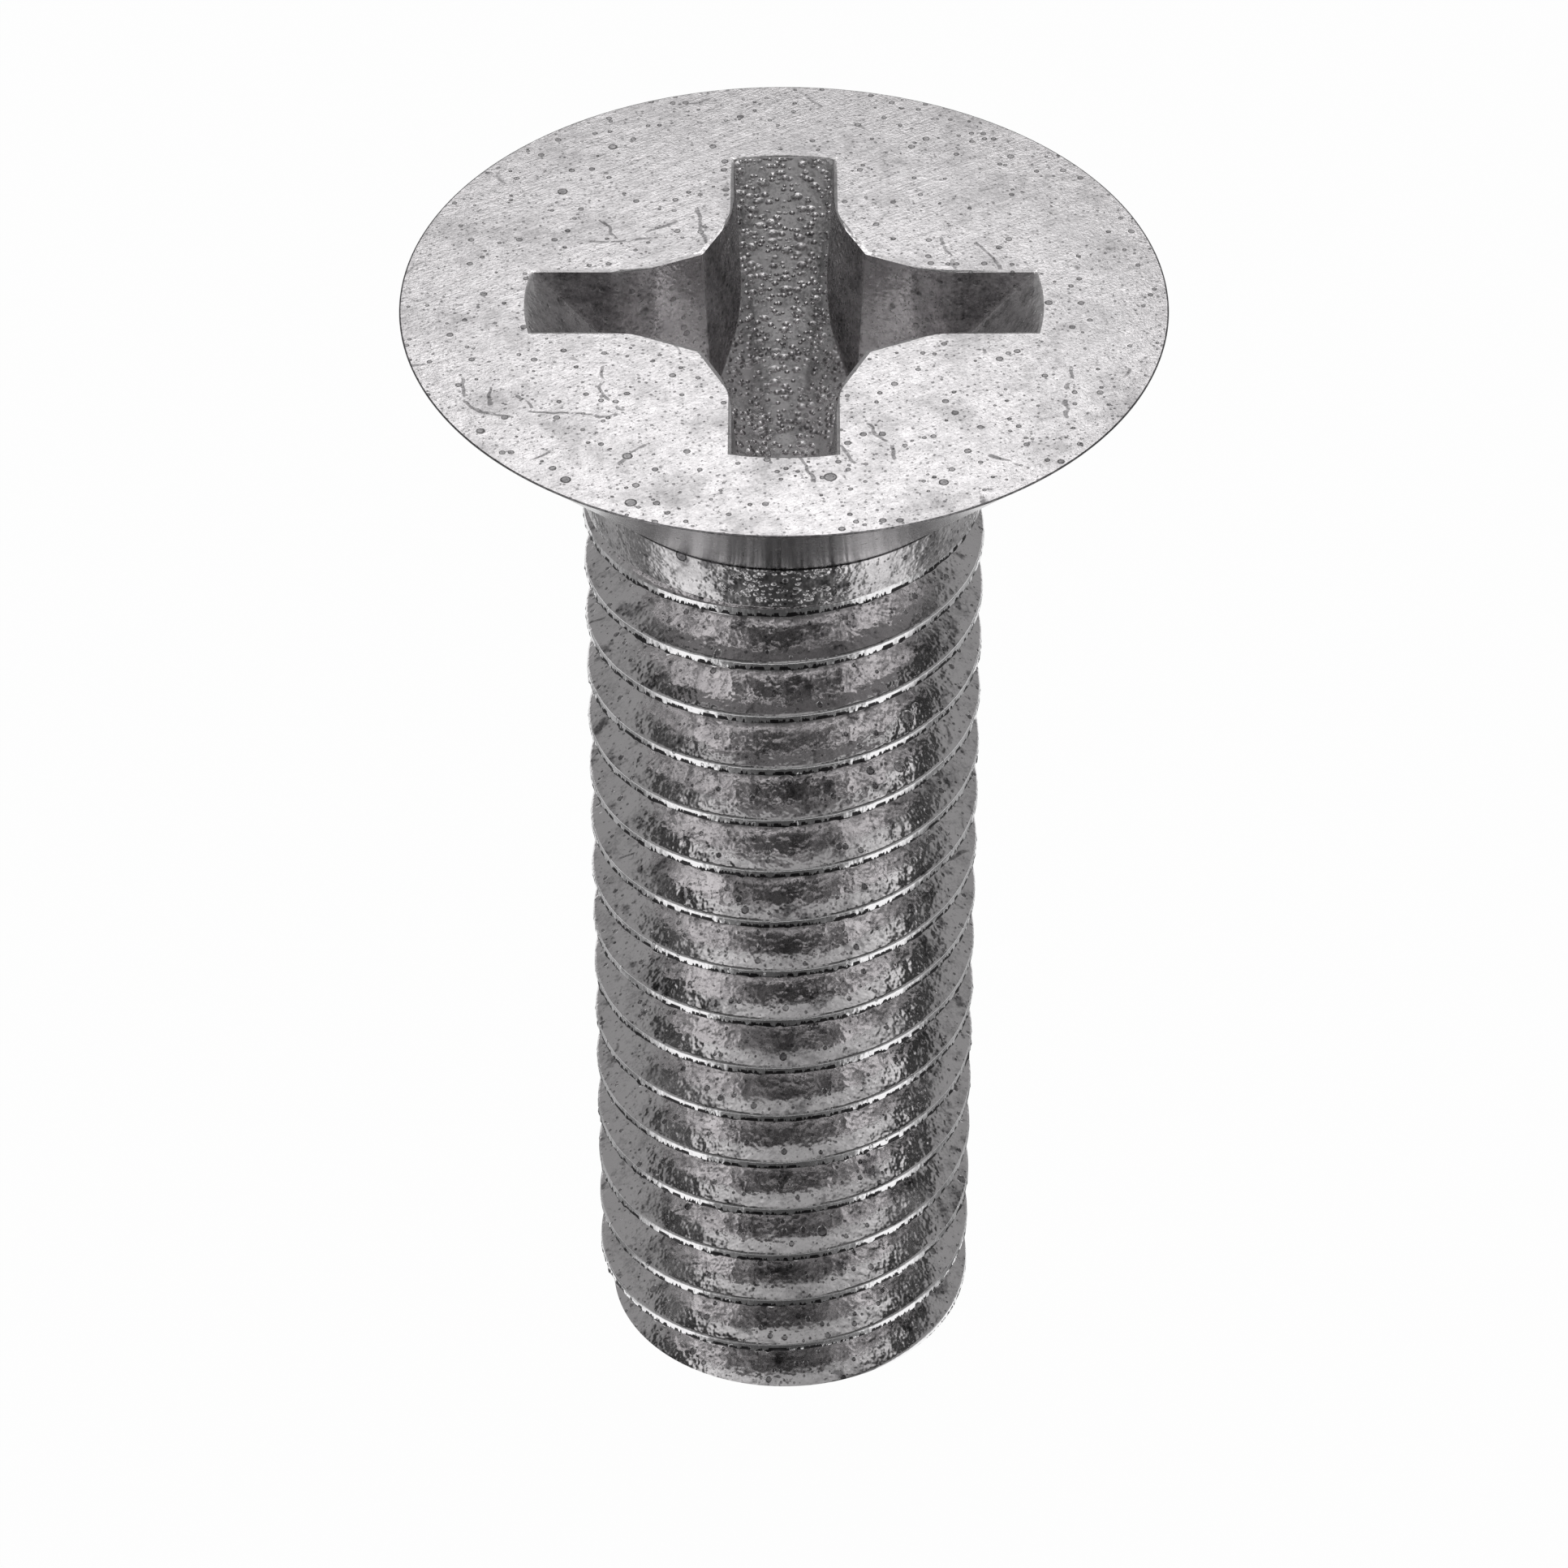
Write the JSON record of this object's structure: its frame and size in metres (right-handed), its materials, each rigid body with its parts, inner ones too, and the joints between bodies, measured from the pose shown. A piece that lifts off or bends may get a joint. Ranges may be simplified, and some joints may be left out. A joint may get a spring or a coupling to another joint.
{
  "type": "countersunk machine screw",
  "caption": "Fully threaded steel machine screw with a flat countersunk head, a cross recess, a short plain neck and a chamfered flat tip.",
  "frame": {"origin": "centre of the flat tip face, on which the screw stands", "axes": "+Z along the screw's axis from the tip to the head; +X and +Y along the wings of the cross recess, with -Y towards the camera"},
  "size_m": [0.0112, 0.0112, 0.02],
  "materials": {
    "steel": "worn bare steel with fine grinding lines, small pits and scratches"
  },
  "bodies": {
    "root": {"screw": "steel"}
  },
  "joints": []
}
